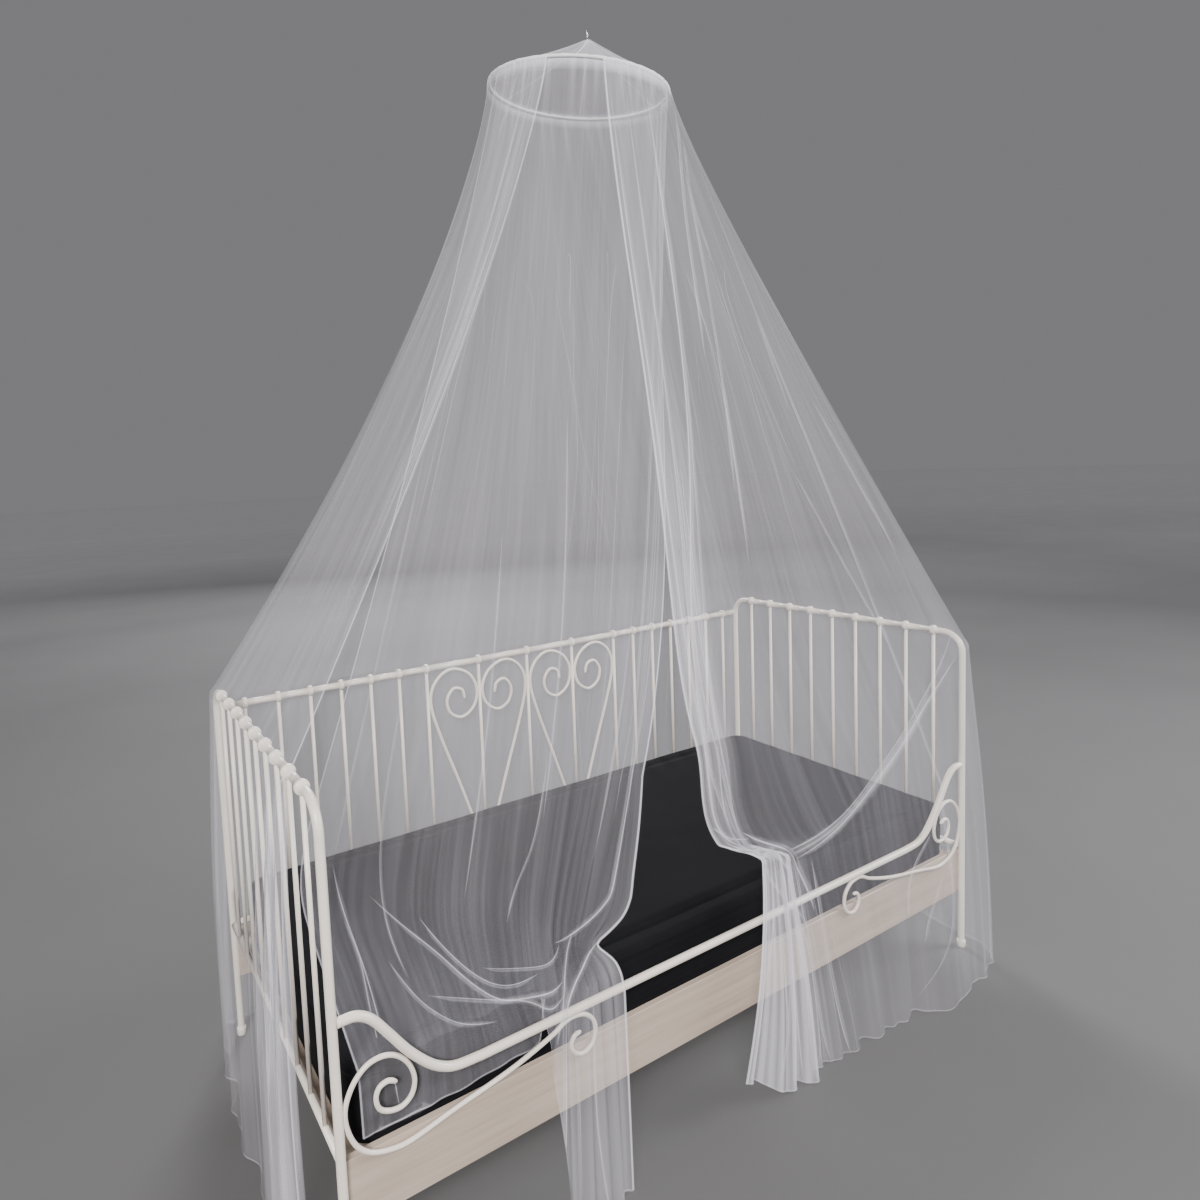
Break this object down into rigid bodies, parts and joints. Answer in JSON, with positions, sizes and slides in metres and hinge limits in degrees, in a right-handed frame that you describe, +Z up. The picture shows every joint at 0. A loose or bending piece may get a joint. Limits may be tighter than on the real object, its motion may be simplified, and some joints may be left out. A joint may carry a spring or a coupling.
{
  "type": "mosquito net canopy over a tubular daybed",
  "caption": "White mosquito net hung from a hoop with a cone roof, draped over the rails of an ivory tube daybed, open at the front.",
  "frame": {"origin": "middle of the whole part's box, on the floor", "axes": "+X along the bed towards the end with the gathered strip of net, -Y towards the open front, +Z up"},
  "size_m": [2.2366, 1.2044, 2.8062],
  "materials": {
    "ivory_paint": "satin",
    "ivory_board": "satin",
    "mattress_cover": "matte",
    "plated_wire": "satin",
    "white_tape": "matte",
    "white_net": "matte"
  },
  "bodies": {
    "root": {"end_frame_left": "ivory_paint", "end_frame_right": "ivory_paint", "end_grille_left": "ivory_paint", "end_grille_right": "ivory_paint", "back_rail": "ivory_paint", "back_grille": "ivory_paint", "heart_scroll_1": "ivory_paint", "heart_scroll_2": "ivory_paint", "heart_scroll_3": "ivory_paint", "heart_scroll_4": "ivory_paint", "front_rail": "ivory_paint", "front_scroll_left": "ivory_paint", "front_scroll_right": "ivory_paint", "front_board": "ivory_board", "back_board": "ivory_board", "bed_base": "ivory_board", "mattress": "mattress_cover", "hoop": "plated_wire", "hanging_ring": "plated_wire", "hoop_sleeve": "white_tape", "ring_tab": "white_tape", "roof": "white_net", "net_main": "white_net", "net_front_left": "white_net"}
  },
  "joints": []
}
